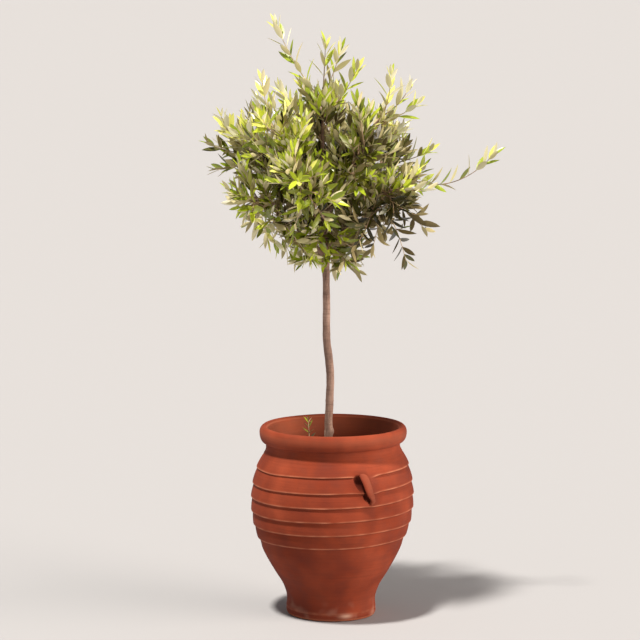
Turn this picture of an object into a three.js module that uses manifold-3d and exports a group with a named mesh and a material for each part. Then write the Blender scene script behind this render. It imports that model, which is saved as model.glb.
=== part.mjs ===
// Potted olive: a young standard tree with a round crown, in a ribbed terracotta pot with two strap lugs.
// Millimetres, +Z up. The origin is the centre of the pot's flat underside, and one lug faces -Y.
import * as THREE from "three";
import { mergeVertices } from "three/addons/utils/BufferGeometryUtils.js";
import Module from "manifold-3d";

const wasm = await Module();
wasm.setup();

// Clearance between two pieces that touch on the real tree
const GAP = 0.3;
// The same clearance measured out to the corners of a faceted round
const FACET_GAP = 0.36;

// Pot
const POT_SIDES = 32;
const POT_HEIGHT = 520;
const FOOT_RADIUS = 116;
const FOOT_EDGE = { radius: 123.5, height: 14 };
const WALL = 15;
const FLOOR = 20;
// The smooth body under the ribs, from the foot to the neck
const BODY = [
  { height: 44, radius: 121.5 },
  { height: 78, radius: 131 },
  { height: 123, radius: 157.5 },
  { height: 166, radius: 181.5 },
  { height: 206, radius: 199.5 },
  { height: 241, radius: 213 },
  { height: 281, radius: 221.5 },
  { height: 320, radius: 224.5 },
  { height: 361, radius: 221.5 },
  { height: 406, radius: 212 },
  { height: 436, radius: 199 },
  { height: 460, radius: 184.5 },
  { height: 480, radius: 184.5 },
];
const LOWER_BODY_STEPS = 4;
const RIB_LIPS = [219, 257, 295, 334, 373, 417];
const RIB_STEP = 4.5;
const RIB_LIP = { height: 3, inset: 0.5 };
const SHOULDER_LINE = { height: 443, depth: 2, halfWidth: 8 };
const NECK = { low: 460, high: 474 };
// The ribs and the rim run up towards one side, by this rise for each millimetre sideways
const RIB_SLANT = { rise: 0.0325, start: 60, whole: 200, fading: 450, rim: 500, rimShare: 0.4 };
// The rolled rim, with turns of its section counted in half circles from its outermost line
const ROLL = { radius: 190, outRadius: 202, inRadius: 178, centre: 505, fall: 25 };
const ROLL_TURNS = { underside: -0.42, crest: 0.5, inside: 1 };
const ROLL_STEPS = { outside: 6, inside: 3 };
// Knots of the straight-sided inner wall, the second one at the soil's edge
const INNER_HEIGHTS = [470, 430, 340, 250, 160, 60];

// Strap lugs, each over a finger hollow pressed into the wall
const LUG = { top: 430, bottom: 330, bulge: 23, width: 26, thickness: 9, slant: 11, sides: 8, steps: 9 };
// How square the strap's section and its arch are, from 1 for round towards 0, and how far its rings lean
const LUG_SQUARENESS = { section: 0.7, arch: 0.6 };
const LUG_LEAN = 0.9;
const HOLLOW = { height: 384, halfWidth: 25, halfHeight: 34, depth: 9, around: 10, down: 6 };

// Soil, mounded a little towards the middle, level where the trunk stands
const SOIL = { edge: 430, top: 440, level: 70, fall: 2 };

// The tree's first side is seen with the near lug a little to its right: bearings count from there.
// Bearing 0 is to the right, 90 away, 180 to the left and 270 towards the viewer.
const FRONT_TURN = THREE.MathUtils.degToRad(24);

// Trunk: points along its middle as sideways and backward offsets from the pot's axis, with radii
const TRUNK_SIDES = 10;
const TRUNK = [
  { side: -12, back: 0, height: SOIL.top + GAP, radius: 17.5 },
  { side: -12, back: 0, height: 456, radius: 13.4 },
  { side: -12, back: 1, height: 500, radius: 12.4 },
  { side: -11, back: 2, height: 505, radius: 13.3 },
  { side: -12, back: 2, height: 512, radius: 12.2 },
  { side: -11, back: 2, height: 580, radius: 10.8 },
  { side: -10, back: 3, height: 665, radius: 10.6 },
  { side: -14, back: 4, height: 705, radius: 11 },
  { side: -20, back: 5, height: 750, radius: 10.5 },
  { side: -22, back: 4, height: 850, radius: 10 },
  { side: -25, back: 2, height: 950, radius: 10 },
  { side: -27, back: 0, height: 985, radius: 11.5 },
  { side: -30, back: 0, height: 1040, radius: 9 },
  { side: -34, back: 0, height: 1110, radius: 6.6 },
  { side: -37, back: 0, height: 1200, radius: 5.6 },
  { side: -38, back: 0, height: 1300, radius: 4.6 },
];

// Crown: an upright ball that its masses share out
const CROWN = { side: -38, height: 1240, radius: 300, halfHeight: 278 };
const SITE_DEPTH = 0.62;
const STEM_END = 0.74;
const BOUGH_SIDES = 5;
const BOUGH_STEPS = 4;
const BOUGH_RADIUS = { foot: 6.5, tip: 4.6 };
// Boughs wind up the trunk, each a golden turn round from the one below it
const GOLDEN_TURN = Math.PI * (3 - Math.sqrt(5));
const BOUGHS = { count: 10, bearing: 200, foot: 992, rise: 16, share: 0.58, bend: 0.1 };
// Sines of the elevations at which the lowest and the highest mass lie, seen from the crown's middle
const MASS_LIFT = { lowest: -0.42, highest: 0.66 };

// Shoots: every one ends in a leaf at a point dealt evenly over the crown
const OUTER_SHOOTS = { count: 72, least: 0.88, most: 1.03, seed: 100 };
const INNER_SHOOTS = { count: 10, least: 0.5, most: 0.7, seed: 400 };
// Tips dealt by hand, which stand out of the ball or fill its thin places:
// bearing, reach from the crown's middle and height
const CHOSEN_TIPS = [
  { bearing: 168, reach: 143, height: 1634 },
  { bearing: 200, reach: 176, height: 1487 },
  { bearing: 188, reach: 284, height: 1390 },
  { bearing: 185, reach: 330, height: 1300 },
  { bearing: 170, reach: 318, height: 1205 },
  { bearing: 204, reach: 262, height: 1092 },
  { bearing: 212, reach: 118, height: 975 },
  { bearing: 302, reach: 72, height: 940 },
  { bearing: 346, reach: 243, height: 957 },
  { bearing: 12, reach: 300, height: 1046 },
  { bearing: 7, reach: 488, height: 1286 },
  { bearing: 350, reach: 316, height: 1180 },
  { bearing: 4, reach: 312, height: 1288 },
  { bearing: 352, reach: 276, height: 1424 },
  { bearing: 8, reach: 246, height: 1472 },
  { bearing: 326, reach: 122, height: 1520 },
  { bearing: 30, reach: 62, height: 1572 },
  { bearing: 285, reach: 22, height: 1592 },
  { bearing: 62, reach: 300, height: 1372 },
  { bearing: 96, reach: 345, height: 1240 },
  { bearing: 122, reach: 255, height: 1452 },
  { bearing: 140, reach: 290, height: 1040 },
  { bearing: 238, reach: 300, height: 1385 },
  { bearing: 262, reach: 338, height: 1215 },
  { bearing: 290, reach: 245, height: 1450 },
  { bearing: 345, reach: 190, height: 1512 },
  { bearing: 283, reach: 262, height: 1148 },
  { bearing: 304, reach: 285, height: 1212 },
  { bearing: 322, reach: 240, height: 1096 },
  { bearing: 268, reach: 88, height: 962 },
  { bearing: 205, reach: 70, height: 965 },
  { bearing: 135, reach: 92, height: 968 },
  { bearing: 256, reach: 215, height: 1368 },
  { bearing: 246, reach: 262, height: 1290 },
];
const STEM = { foot: 5, tip: 3.8, steps: 3, straight: 8 };
const SHOOT = { foot: 2.2, tip: 1.3, steps: 3, leave: 0.42, sag: 0.2 };
const SHOOT_FEET = { first: 12, last: 3 };

// Leaves, in opposite pairs that turn a quarter from one pair to the next
const LEAF = { length: 92, width: 29, thick: 3, widest: 0.45 };
const LEAF_SEED = 1000;
const PAIR_GAP = 31;
const LEAFY_SHARE = 0.56;
const LAST_PAIR = 16;
const PAIR_ANGLE = { least: 34, most: 58 };
// How much a leaf turns up towards the light
const LEAF_RISE = 0.15;
// Other turns round the shoot, and shares of its angle to it, that a leaf takes where its own has no room
const LEAF_NUDGES = [0, 0.5, -0.5, 1, -1, 1.5, -1.5];
const LEAF_FOLDS = [1, 0.6, 0.3];
const END_LEAF_SHARE = 0.75;
const END_LEAF_SINK = 8;
const SHORTEST_WOOD = 0.2;

// Clearances to the walls of a mass's own space and to the limbs, which are tested at steps along a piece
const CELL_MARGIN = 0.8;
const LIMB_MARGIN = 1.6;
const LIMB_TEST_STEPS = 8;

// A young shoot that comes up out of the soil beside the trunk
const SUCKER = { side: -63, back: -6, top: 518, lean: -7, footRadius: 2.2, tipRadius: 1.5, steps: 2 };
const SUCKER_PAIRS = [466, 485, 503];
const SUCKER_LEAF = { length: 35, width: 11, thick: 1.2, widest: 0.5, rise: 1.3, last: 0.95 };

// Colours, roughness and metalness of the materials
const TERRACOTTA = new THREE.MeshStandardMaterial({ color: 0xb4593a, roughness: 0.85, metalness: 0 });
const EARTH = new THREE.MeshStandardMaterial({ color: 0x4a3626, roughness: 1, metalness: 0 });
const BARK = new THREE.MeshStandardMaterial({ color: 0x8c7f70, roughness: 0.9, metalness: 0 });
const FOLIAGE = new THREE.MeshStandardMaterial({ color: 0x6d7f3a, roughness: 0.6, metalness: 0 });

// A repeatable stream of numbers from 0 to 1
function dice(seed) {
  let state = Math.imul(seed + 1, 2654435761) >>> 0;
  return () => {
    state = (Math.imul(state, 1664525) + 1013904223) >>> 0;
    return state / 2 ** 32;
  };
}

// A place given to the right of, behind and above the pot's axis, as the tree's first side is seen
function place(side, back, height) {
  return new THREE.Vector3(side, back, height).applyAxisAngle(new THREE.Vector3(0, 0, 1), -FRONT_TURN);
}

// A place given by its bearing and reach from the crown's upright middle line
function crownPlace(bearing, reach, height) {
  const turn = THREE.MathUtils.degToRad(bearing);
  return place(CROWN.side + reach * Math.cos(turn), reach * Math.sin(turn), height);
}

// A place at a share of the way from the crown's centre to its surface
function crownShare(bearing, elevation, share) {
  const lift = THREE.MathUtils.degToRad(elevation);
  const reach = CROWN.radius * Math.cos(lift) * share;
  return crownPlace(bearing, reach, CROWN.height + CROWN.halfHeight * Math.sin(lift) * share);
}

function makeSolid(points, triangles) {
  const mesh = new wasm.Mesh({
    numProp: 3,
    vertProperties: Float32Array.from(points.flatMap((point) => [point.x, point.y, point.z])),
    triVerts: Uint32Array.from(triangles),
  });
  return new wasm.Manifold(mesh);
}

// Joins rings of points into one closed body with flat ends
function loft(rings) {
  const sides = rings[0].length;
  const triangles = [];
  for (let ring = 0; ring + 1 < rings.length; ring += 1) {
    for (let side = 0; side < sides; side += 1) {
      const low = ring * sides + side;
      const lowNext = ring * sides + ((side + 1) % sides);
      triangles.push(low, lowNext, lowNext + sides);
      triangles.push(low, lowNext + sides, low + sides);
    }
  }
  const last = (rings.length - 1) * sides;
  for (let side = 1; side + 1 < sides; side += 1) {
    triangles.push(0, side + 1, side);
    triangles.push(last, last + side, last + side + 1);
  }
  return makeSolid(rings.flat(), triangles);
}

// Two unit vectors across a direction, the first as near as can be to the wanted one
function across(direction, wanted) {
  const first = wanted.clone().addScaledVector(direction, -wanted.dot(direction)).normalize();
  return [first, new THREE.Vector3().crossVectors(direction, first)];
}

// Up, or sideways for a direction that is nearly upright itself
function upright(direction) {
  return Math.abs(direction.z) < 0.9 ? new THREE.Vector3(0, 0, 1) : new THREE.Vector3(1, 0, 0);
}

// A limb with round or three-sided rings along a row of points
function limb(points, radii, sides) {
  const wanted = upright(points[points.length - 1].clone().sub(points[0]).normalize());
  const rings = points.map((point, index) => {
    const before = points[Math.max(index - 1, 0)];
    const after = points[Math.min(index + 1, points.length - 1)];
    const [first, second] = across(after.clone().sub(before).normalize(), wanted);
    return Array.from({ length: sides }, (_, side) => {
      const turn = (side / sides) * 2 * Math.PI;
      return point
        .clone()
        .addScaledVector(first, radii[index] * Math.cos(turn))
        .addScaledVector(second, radii[index] * Math.sin(turn));
    });
  });
  return loft(rings);
}

// Points and falling radii along a curve, from one share of it to another
function along(curve, from, to, steps, footRadius, tipRadius) {
  const shares = Array.from({ length: steps + 1 }, (_, step) => from + ((to - from) * step) / steps);
  return {
    points: shares.map((share) => curve.getPoint(share)),
    radii: shares.map((_, step) => THREE.MathUtils.lerp(footRadius, tipRadius, step / steps)),
  };
}

// The outer shell of the largest piece, which fills sealed hollows and drops loose scraps
function largest(solid) {
  const pieces = solid.decompose();
  return pieces.reduce((best, piece) => (piece.volume() > best.volume() ? piece : best));
}

function makeMesh(name, solid, material) {
  const { vertProperties, triVerts } = solid.getMesh();
  const geometry = new THREE.BufferGeometry();
  geometry.setAttribute("position", new THREE.BufferAttribute(Float32Array.from(vertProperties), 3));
  geometry.setIndex(new THREE.BufferAttribute(Uint32Array.from(triVerts), 1));
  const mesh = new THREE.Mesh(geometry, material);
  mesh.name = name;
  return mesh;
}

function solidOf(geometry) {
  geometry.deleteAttribute("normal");
  geometry.deleteAttribute("uv");
  const merged = mergeVertices(geometry, 1e-4);
  const places = merged.getAttribute("position");
  const points = [];
  for (let index = 0; index < places.count; index += 1) {
    points.push(new THREE.Vector3().fromBufferAttribute(places, index));
  }
  return makeSolid(points, Array.from(merged.index.array));
}

// A body turned about the pot's axis, from an outline that leaves it at the bottom and comes back at the top
function turned(outline, sides) {
  return new THREE.LatheGeometry(outline, sides).rotateX(Math.PI / 2);
}

// How much of the ribs' slant a height has
function slantShare(height) {
  const { start, whole, fading, rim, rimShare } = RIB_SLANT;
  const below = THREE.MathUtils.smoothstep(height, start, whole);
  return below * THREE.MathUtils.lerp(1, rimShare, THREE.MathUtils.smoothstep(height, fading, rim));
}

// The pot's outside slanted, its inside left as it is
function slanted(geometry) {
  const points = geometry.attributes.position;
  const sideways = place(1, 0, 0);
  const point = new THREE.Vector3();
  for (let index = 0; index < points.count; index += 1) {
    point.fromBufferAttribute(points, index);
    const height = point.z;
    const wallMiddle = innerRadius(Math.min(height, NECK.high)) + WALL / 2;
    if (Math.hypot(point.x, point.y) > wallMiddle) {
      points.setZ(index, height + slantShare(height) * RIB_SLANT.rise * point.dot(sideways));
    }
  }
  return geometry;
}

// Radius of the pot's body at a height, with no ribs
function bodyRadius(height) {
  const above = Math.max(1, BODY.findIndex((knot) => knot.height >= height));
  const low = BODY[above - 1];
  const high = BODY[above];
  const before = BODY[Math.max(above - 2, 0)];
  const after = BODY[Math.min(above + 1, BODY.length - 1)];
  const span = high.height - low.height;
  const share = (height - low.height) / span;
  const lowSlope = (high.radius - before.radius) / (high.height - before.height || span);
  const highSlope = (after.radius - low.radius) / (after.height - low.height || span);
  const square = share * share;
  const cube = square * share;
  return (
    (2 * cube - 3 * square + 1) * low.radius +
    (cube - 2 * square + share) * span * lowSlope +
    (3 * square - 2 * cube) * high.radius +
    (cube - square) * span * highSlope
  );
}

// Points round a part of the roll's section, between two turns of it and out to the given reach
function rollPoints(fromTurn, toTurn, steps, reach) {
  const rise = POT_HEIGHT - ROLL.centre;
  return Array.from({ length: steps + 1 }, (_, step) => {
    const turn = THREE.MathUtils.lerp(fromTurn, toTurn, step / steps) * Math.PI;
    const height = ROLL.centre + (turn < 0 ? ROLL.fall : rise) * Math.sin(turn);
    return new THREE.Vector2(ROLL.radius + reach * Math.cos(turn), height);
  });
}

// A point of the pot's outline, set into its smooth body by the given depth
function bodyPoint(height, depth) {
  return new THREE.Vector2(bodyRadius(height) - depth, height);
}

// The pot's outer outline from its underside up to the crest of the rolled rim
function outerOutline() {
  const outline = [
    new THREE.Vector2(0, 0),
    new THREE.Vector2(FOOT_RADIUS, 0),
    new THREE.Vector2(FOOT_EDGE.radius, FOOT_EDGE.height * 0.5),
    new THREE.Vector2(FOOT_EDGE.radius, FOOT_EDGE.height),
  ];
  const ribFoot = RIB_LIPS[0] - RIB_LIP.height;
  for (let step = 0; step < LOWER_BODY_STEPS; step += 1) {
    outline.push(bodyPoint(THREE.MathUtils.lerp(BODY[0].height, ribFoot, step / LOWER_BODY_STEPS), 0));
  }
  outline.push(bodyPoint(ribFoot, RIB_STEP));
  RIB_LIPS.forEach((lip, rib) => {
    const nextLip = RIB_LIPS[rib + 1];
    const bandTop = nextLip ? nextLip - RIB_LIP.height : SHOULDER_LINE.height - SHOULDER_LINE.halfWidth;
    outline.push(bodyPoint(lip, RIB_LIP.inset));
    outline.push(bodyPoint(lip + RIB_LIP.height, 0));
    outline.push(bodyPoint(bandTop, nextLip ? RIB_STEP : 0));
  });
  outline.push(bodyPoint(SHOULDER_LINE.height, SHOULDER_LINE.depth));
  outline.push(bodyPoint(NECK.low, 0));
  outline.push(bodyPoint(NECK.high, 0));
  const reach = ROLL.outRadius - ROLL.radius;
  outline.push(...rollPoints(ROLL_TURNS.underside, ROLL_TURNS.crest, ROLL_STEPS.outside, reach));
  return outline;
}

function innerRadius(height) {
  return bodyRadius(height) - WALL;
}

// The inside of the pot from the neck down to the floor, drawn in by the given clearance
function innerOutline(clearance) {
  const wall = INNER_HEIGHTS.map((height) => new THREE.Vector2(innerRadius(height) - clearance, height));
  wall.push(new THREE.Vector2(FOOT_RADIUS - WALL - clearance, FLOOR + clearance));
  wall.push(new THREE.Vector2(0, FLOOR + clearance));
  return wall;
}

// The roll's inner face, from just past its crest down into the neck
function rollInside() {
  const reach = ROLL.radius - ROLL.inRadius;
  return rollPoints(ROLL_TURNS.crest, ROLL_TURNS.inside, ROLL_STEPS.inside, reach).slice(1);
}

// One strap: an arch that leaves the shoulder, stands off the wall and comes back to it
function strap() {
  const rings = [];
  for (let step = 0; step <= LUG.steps; step += 1) {
    const share = step / LUG.steps;
    const height = THREE.MathUtils.lerp(LUG.bottom, LUG.top, share);
    const lift = LUG.bulge * Math.pow(Math.sin(Math.PI * share), LUG_SQUARENESS.arch) - LUG.thickness;
    const middle = bodyRadius(height) + lift;
    const lean = THREE.MathUtils.clamp(Math.PI * (0.5 - share), -1, 1) * LUG_LEAN;
    const offset = THREE.MathUtils.lerp(LUG.slant, -LUG.slant, share);
    const ring = [];
    for (let side = 0; side < LUG.sides; side += 1) {
      const turn = ((side + 0.5) / LUG.sides) * 2 * Math.PI;
      const squared = Math.pow(Math.abs(Math.cos(turn)), LUG_SQUARENESS.section);
      const wide = Math.sign(Math.cos(turn)) * squared * (LUG.width / 2);
      const thick = Math.sin(turn) * (LUG.thickness / 2);
      const out = middle + thick * Math.cos(lean);
      ring.push(new THREE.Vector3(offset + wide, -out, height - thick * Math.sin(lean)));
    }
    rings.push(ring);
  }
  return loft(rings);
}

function fingerHollow() {
  const ball = new THREE.SphereGeometry(1, HOLLOW.around, HOLLOW.down);
  ball.scale(HOLLOW.halfWidth, HOLLOW.depth * 2, HOLLOW.halfHeight);
  ball.translate(0, -(bodyRadius(HOLLOW.height) + HOLLOW.depth), HOLLOW.height);
  return solidOf(ball);
}

function makePot() {
  const outline = [...outerOutline(), ...rollInside(), ...innerOutline(0)];
  let pot = solidOf(slanted(turned(outline, POT_SIDES)));
  const hollow = fingerHollow();
  const lug = strap();
  for (const turn of [0, 180]) {
    pot = pot.subtract(hollow.rotate([0, 0, turn])).add(lug.rotate([0, 0, turn]));
  }
  return largest(pot);
}

function makeSoil() {
  const wall = innerOutline(FACET_GAP).filter((point) => point.y <= SOIL.edge);
  const halfway = (SOIL.level + wall[0].x) / 2;
  const outline = [
    ...wall.reverse(),
    new THREE.Vector2(halfway, SOIL.top - SOIL.fall),
    new THREE.Vector2(SOIL.level, SOIL.top),
    new THREE.Vector2(0, SOIL.top),
  ];
  return solidOf(turned(outline, POT_SIDES));
}

function trunkPoints() {
  return TRUNK.map(({ side, back, height }) => place(side, back, height));
}

// The trunk, thicker all over by the given growth where it is used as a cutter
function makeTrunk(growth) {
  return limb(trunkPoints(), TRUNK.map(({ radius }) => radius + growth), TRUNK_SIDES);
}

// The middle of the trunk at a height
function trunkPlace(height) {
  const above = TRUNK.findIndex((knot) => knot.height >= height);
  const low = TRUNK[above - 1];
  const high = TRUNK[above];
  const share = (height - low.height) / (high.height - low.height);
  return place(low.side, low.back, low.height).lerp(place(high.side, high.back, high.height), share);
}

// Every bough with its name, its points and radii, and the site and far end of the mass that it carries
function planBoughs() {
  return Array.from({ length: BOUGHS.count }, (_, index) => {
    const bearing = BOUGHS.bearing + THREE.MathUtils.radToDeg(index * GOLDEN_TURN);
    const sine = THREE.MathUtils.lerp(MASS_LIFT.lowest, MASS_LIFT.highest, index / (BOUGHS.count - 1));
    const elevation = THREE.MathUtils.radToDeg(Math.asin(sine));
    const site = crownShare(bearing, elevation, SITE_DEPTH);
    const start = trunkPlace(BOUGHS.foot + index * BOUGHS.rise);
    const tip = start.clone().lerp(site, BOUGHS.share);
    const bend = start.clone().lerp(tip, 0.5);
    bend.z -= BOUGHS.bend * tip.distanceTo(start);
    const curve = new THREE.QuadraticBezierCurve3(start, bend, tip);
    return {
      name: String(index + 1),
      ...along(curve, 0, 1, BOUGH_STEPS, BOUGH_RADIUS.foot, BOUGH_RADIUS.tip),
      site,
      end: crownShare(bearing, elevation, STEM_END),
    };
  });
}

function makeBough({ points, radii }, cutter) {
  return largest(limb(points, radii, BOUGH_SIDES).subtract(cutter));
}

// The end of a limb and the way it points there
function endOf(points) {
  const [before, last] = points.slice(-2);
  return { foot: last, heading: last.clone().sub(before).normalize() };
}

// The straight pieces of a limb with their radii
function piecesOf({ points, radii }) {
  return points.slice(1).map((point, index) => {
    return { line: new THREE.Line3(points[index], point), radius: radii[index] };
  });
}

// The tips that the shoots grow towards: on the ball's surface, inside it and those dealt by hand
function planTips() {
  const tips = [];
  for (const { count, least, most, seed } of [OUTER_SHOOTS, INNER_SHOOTS]) {
    for (let index = 0; index < count; index += 1) {
      const roll = dice(seed + index);
      const lift = Math.asin(1 - (2 * (index + 0.5)) / count);
      const share = THREE.MathUtils.lerp(least, most, roll());
      const bearing = THREE.MathUtils.radToDeg(index * GOLDEN_TURN);
      tips.push(crownShare(bearing, THREE.MathUtils.radToDeg(lift), share));
    }
  }
  for (const { bearing, reach, height } of CHOSEN_TIPS) {
    tips.push(crownPlace(bearing, reach, height));
  }
  return tips;
}

function nearest(point, sites) {
  const distances = sites.map((site) => site.distanceTo(point));
  return distances.indexOf(Math.min(...distances));
}

// Whether all points lie inside the space nearest to one site, clear of its walls
function keepsTo(points, home, sites) {
  return sites.every((site, index) => {
    if (index === home) return true;
    const outward = site.clone().sub(sites[home]).normalize();
    const wall = site.clone().add(sites[home]).multiplyScalar(0.5).dot(outward) - CELL_MARGIN;
    return points.every((point) => point.dot(outward) < wall);
  });
}

// Whether a straight piece of the given half width stays clear of the trunk and all boughs
function clearOfLimbs(from, to, halfWidth, limbs) {
  const nearby = new THREE.Vector3();
  for (let step = 0; step <= LIMB_TEST_STEPS; step += 1) {
    const point = from.clone().lerp(to, step / LIMB_TEST_STEPS);
    for (const { line, radius } of limbs) {
      line.closestPointToPoint(point, true, nearby);
      if (nearby.distanceTo(point) < radius + halfWidth + LIMB_MARGIN) return false;
    }
  }
  return true;
}

// The corners of one leaf: root, tip, two edges and the keel of its midrib
function leafPoints(root, direction, up, leaf) {
  const [face, edge] = across(direction, up);
  const middle = root.clone().addScaledVector(direction, leaf.length * leaf.widest);
  return [
    root.clone(),
    root.clone().addScaledVector(direction, leaf.length),
    middle.clone().addScaledVector(edge, leaf.width / 2),
    middle.clone().addScaledVector(edge, -leaf.width / 2),
    middle.clone().addScaledVector(face, -leaf.thick),
  ];
}

const LEAF_TRIANGLES = [0, 2, 3, 0, 3, 4, 0, 4, 2, 1, 3, 2, 1, 4, 3, 1, 2, 4];

function boxOf(solid) {
  const { min, max } = solid.boundingBox();
  return new THREE.Box3(new THREE.Vector3(...min), new THREE.Vector3(...max));
}

// Whether a solid cuts into any of the other pieces
function hits(solid, pieces) {
  const box = boxOf(solid);
  return pieces.some((piece) => box.intersectsBox(piece.box) && !solid.intersect(piece.solid).isEmpty());
}

// The place and direction at a distance along a row of points, counted back from its last point
function walkBack(points, distance) {
  let left = distance;
  for (let index = points.length - 1; index > 0; index -= 1) {
    const step = points[index].clone().sub(points[index - 1]);
    if (left <= step.length() || index === 1) {
      const ahead = step.normalize();
      return { place: points[index].clone().addScaledVector(ahead, -left), ahead };
    }
    left -= step.length();
  }
  return null;
}

// The leaves of a shoot: one at its end, then pair after pair down to its foot
function planLeaves({ length, number }) {
  const roll = dice(LEAF_SEED + number);
  const firstQuarter = roll() * Math.PI;
  const leaves = [{ back: END_LEAF_SINK, angle: 0, turn: firstQuarter, pair: 0 }];
  for (let pair = 1; LAST_PAIR + (pair - 1) * PAIR_GAP < length * LEAFY_SHARE; pair += 1) {
    const back = LAST_PAIR + (pair - 1) * PAIR_GAP;
    for (const half of [0, Math.PI]) {
      const angle = THREE.MathUtils.degToRad(THREE.MathUtils.lerp(PAIR_ANGLE.least, PAIR_ANGLE.most, roll()));
      leaves.push({ back, angle, turn: firstQuarter + pair * (Math.PI / 2) + half, pair });
    }
  }
  return leaves;
}

// The corners of a planned leaf on its shoot, turned further round it by the nudge and folded towards it
function placeLeaf(points, { back, angle, turn }, nudge, fold) {
  const { place: root, ahead } = walkBack(points, back);
  const [first, second] = across(ahead, upright(ahead));
  const round = turn + nudge;
  const out = first.multiplyScalar(Math.cos(round)).addScaledVector(second, Math.sin(round));
  const lean = angle * fold;
  const direction = ahead.clone().multiplyScalar(Math.cos(lean)).addScaledVector(out, Math.sin(lean));
  direction.z += angle > 0 ? LEAF_RISE : 0;
  direction.normalize();
  return leafPoints(root, direction, angle > 0 ? ahead : out, LEAF);
}

// The stem of a mass, which goes on straight from the end face of its limb and then bends to its own end
function planStem({ foot, heading, end }) {
  const start = foot.clone().addScaledVector(heading, GAP);
  const straightEnd = start.clone().addScaledVector(heading, STEM.straight);
  const bend = start.clone().addScaledVector(heading, 0.5 * start.distanceTo(end));
  const curve = new THREE.QuadraticBezierCurve3(straightEnd, bend, end);
  const { points, radii } = along(curve, 0, 1, STEM.steps, STEM.foot, STEM.tip);
  return { points: [start, ...points], radii: [STEM.foot, ...radii] };
}

// How far along the stem, in millimetres, a shoot for this tip would best leave it
function bestLeave(stem, tip) {
  const foot = stem.points[0];
  const chord = stem.points[stem.points.length - 1].clone().sub(foot).normalize();
  const offset = tip.clone().sub(foot);
  const ahead = offset.dot(chord);
  return ahead - Math.sqrt(Math.max(offset.lengthSq() - ahead * ahead, 0));
}

// The shoot that leaves the stem at a distance before its end for a tip, bent as far as its space allows
function planShoot(stem, backFromEnd, { tip, number }, fits) {
  const { place: start, ahead } = walkBack(stem.points, backFromEnd);
  const reach = start.distanceTo(tip);
  const straight = start.clone().lerp(tip, 0.5);
  const bent = start.clone().addScaledVector(ahead, SHOOT.leave * reach);
  bent.z -= SHOOT.sag * reach;
  for (const ease of [0, 0.5, 1]) {
    const curve = new THREE.QuadraticBezierCurve3(start, bent.clone().lerp(straight, ease), tip);
    const woodEnd = 1 - (END_LEAF_SHARE * LEAF.length) / curve.getLength();
    if (woodEnd < SHORTEST_WOOD) return null;
    const { points, radii } = along(curve, 0, woodEnd, SHOOT.steps, SHOOT.foot, SHOOT.tip);
    if (fits(points)) {
      return { points, length: woodEnd * curve.getLength(), number, solid: limb(points, radii, 3) };
    }
  }
  return null;
}

// All shoots of a stem: their feet are dealt evenly along it, in the order that suits their tips
function planShoots(stem, tips, fits) {
  const ordered = [...tips].sort((one, other) => bestLeave(stem, other.tip) - bestLeave(stem, one.tip));
  const stemLength = stem.points[0].distanceTo(stem.points[stem.points.length - 1]);
  const last = stemLength - SHOOT_FEET.first - SHOOT_FEET.last;
  return ordered
    .map((tip, rank) => planShoot(stem, SHOOT_FEET.last + (last * rank) / (tips.length - 1), tip, fits))
    .filter((shoot) => shoot !== null);
}

// The first way of placing a leaf that stays in its space, clear of the limbs and of the other pieces
function fitLeaf(shoot, plan, others, fits) {
  for (const fold of LEAF_FOLDS) {
    for (const nudge of LEAF_NUDGES) {
      const corners = placeLeaf(shoot.points, plan, nudge, fold);
      if (!fits(corners)) continue;
      const solid = makeSolid(corners, LEAF_TRIANGLES);
      if (!hits(solid, others)) return solid;
    }
  }
  return null;
}

// One mass: its stem, the shoots that leave the stem for their tips, and the leaves that find room on them
function growMass(mass, home, sites, tips, limbs) {
  const stem = planStem(mass);
  const stemSolid = limb(stem.points, stem.radii, 3);
  const woodFits = (row) =>
    keepsTo(row, home, sites) &&
    row.slice(1).every((point, index) => clearOfLimbs(row[index], point, SHOOT.foot, limbs));
  const leafFits = (corners) =>
    keepsTo(corners, home, sites) && clearOfLimbs(corners[0], corners[1], LEAF.width / 2, limbs);
  const shoots = planShoots(stem, tips, woodFits);
  const woodSolids = [stemSolid, ...shoots.map((shoot) => shoot.solid)];
  const wood = woodSolids.map((solid) => ({ solid, box: boxOf(solid) }));
  const leaves = [];
  for (const shoot of shoots) {
    for (const plan of planLeaves(shoot)) {
      const others = [
        ...wood.filter((piece) => piece.solid !== shoot.solid),
        ...leaves.filter((leaf) => leaf.shoot !== shoot || leaf.pair !== plan.pair),
      ];
      const solid = fitLeaf(shoot, plan, others, leafFits);
      if (solid) leaves.push({ solid, box: boxOf(solid), shoot, pair: plan.pair });
    }
  }
  return largest(wasm.Manifold.union([...wood, ...leaves].map((piece) => piece.solid)));
}

function makeSucker() {
  const foot = place(SUCKER.side, SUCKER.back, SOIL.top + GAP);
  const top = place(SUCKER.side + SUCKER.lean, SUCKER.back, SUCKER.top);
  const curve = new THREE.LineCurve3(foot, top);
  const { points, radii } = along(curve, 0, 1, SUCKER.steps, SUCKER.footRadius, SUCKER.tipRadius);
  const up = new THREE.Vector3(0, 0, 1);
  const side = new THREE.Vector3(1, 0, 0);
  const solids = [limb(points, radii, 3)];
  solids.push(makeSolid(leafPoints(curve.getPoint(SUCKER_LEAF.last), up, side, SUCKER_LEAF), LEAF_TRIANGLES));
  SUCKER_PAIRS.forEach((height, pair) => {
    const root = curve.getPoint((height - SOIL.top) / (SUCKER.top - SOIL.top));
    for (const half of [0, Math.PI]) {
      const turn = half + pair * (Math.PI / 2) - FRONT_TURN;
      const direction = new THREE.Vector3(Math.cos(turn), Math.sin(turn), SUCKER_LEAF.rise).normalize();
      solids.push(makeSolid(leafPoints(root, direction, up, SUCKER_LEAF), LEAF_TRIANGLES));
    }
  });
  return largest(wasm.Manifold.union(solids));
}

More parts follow.
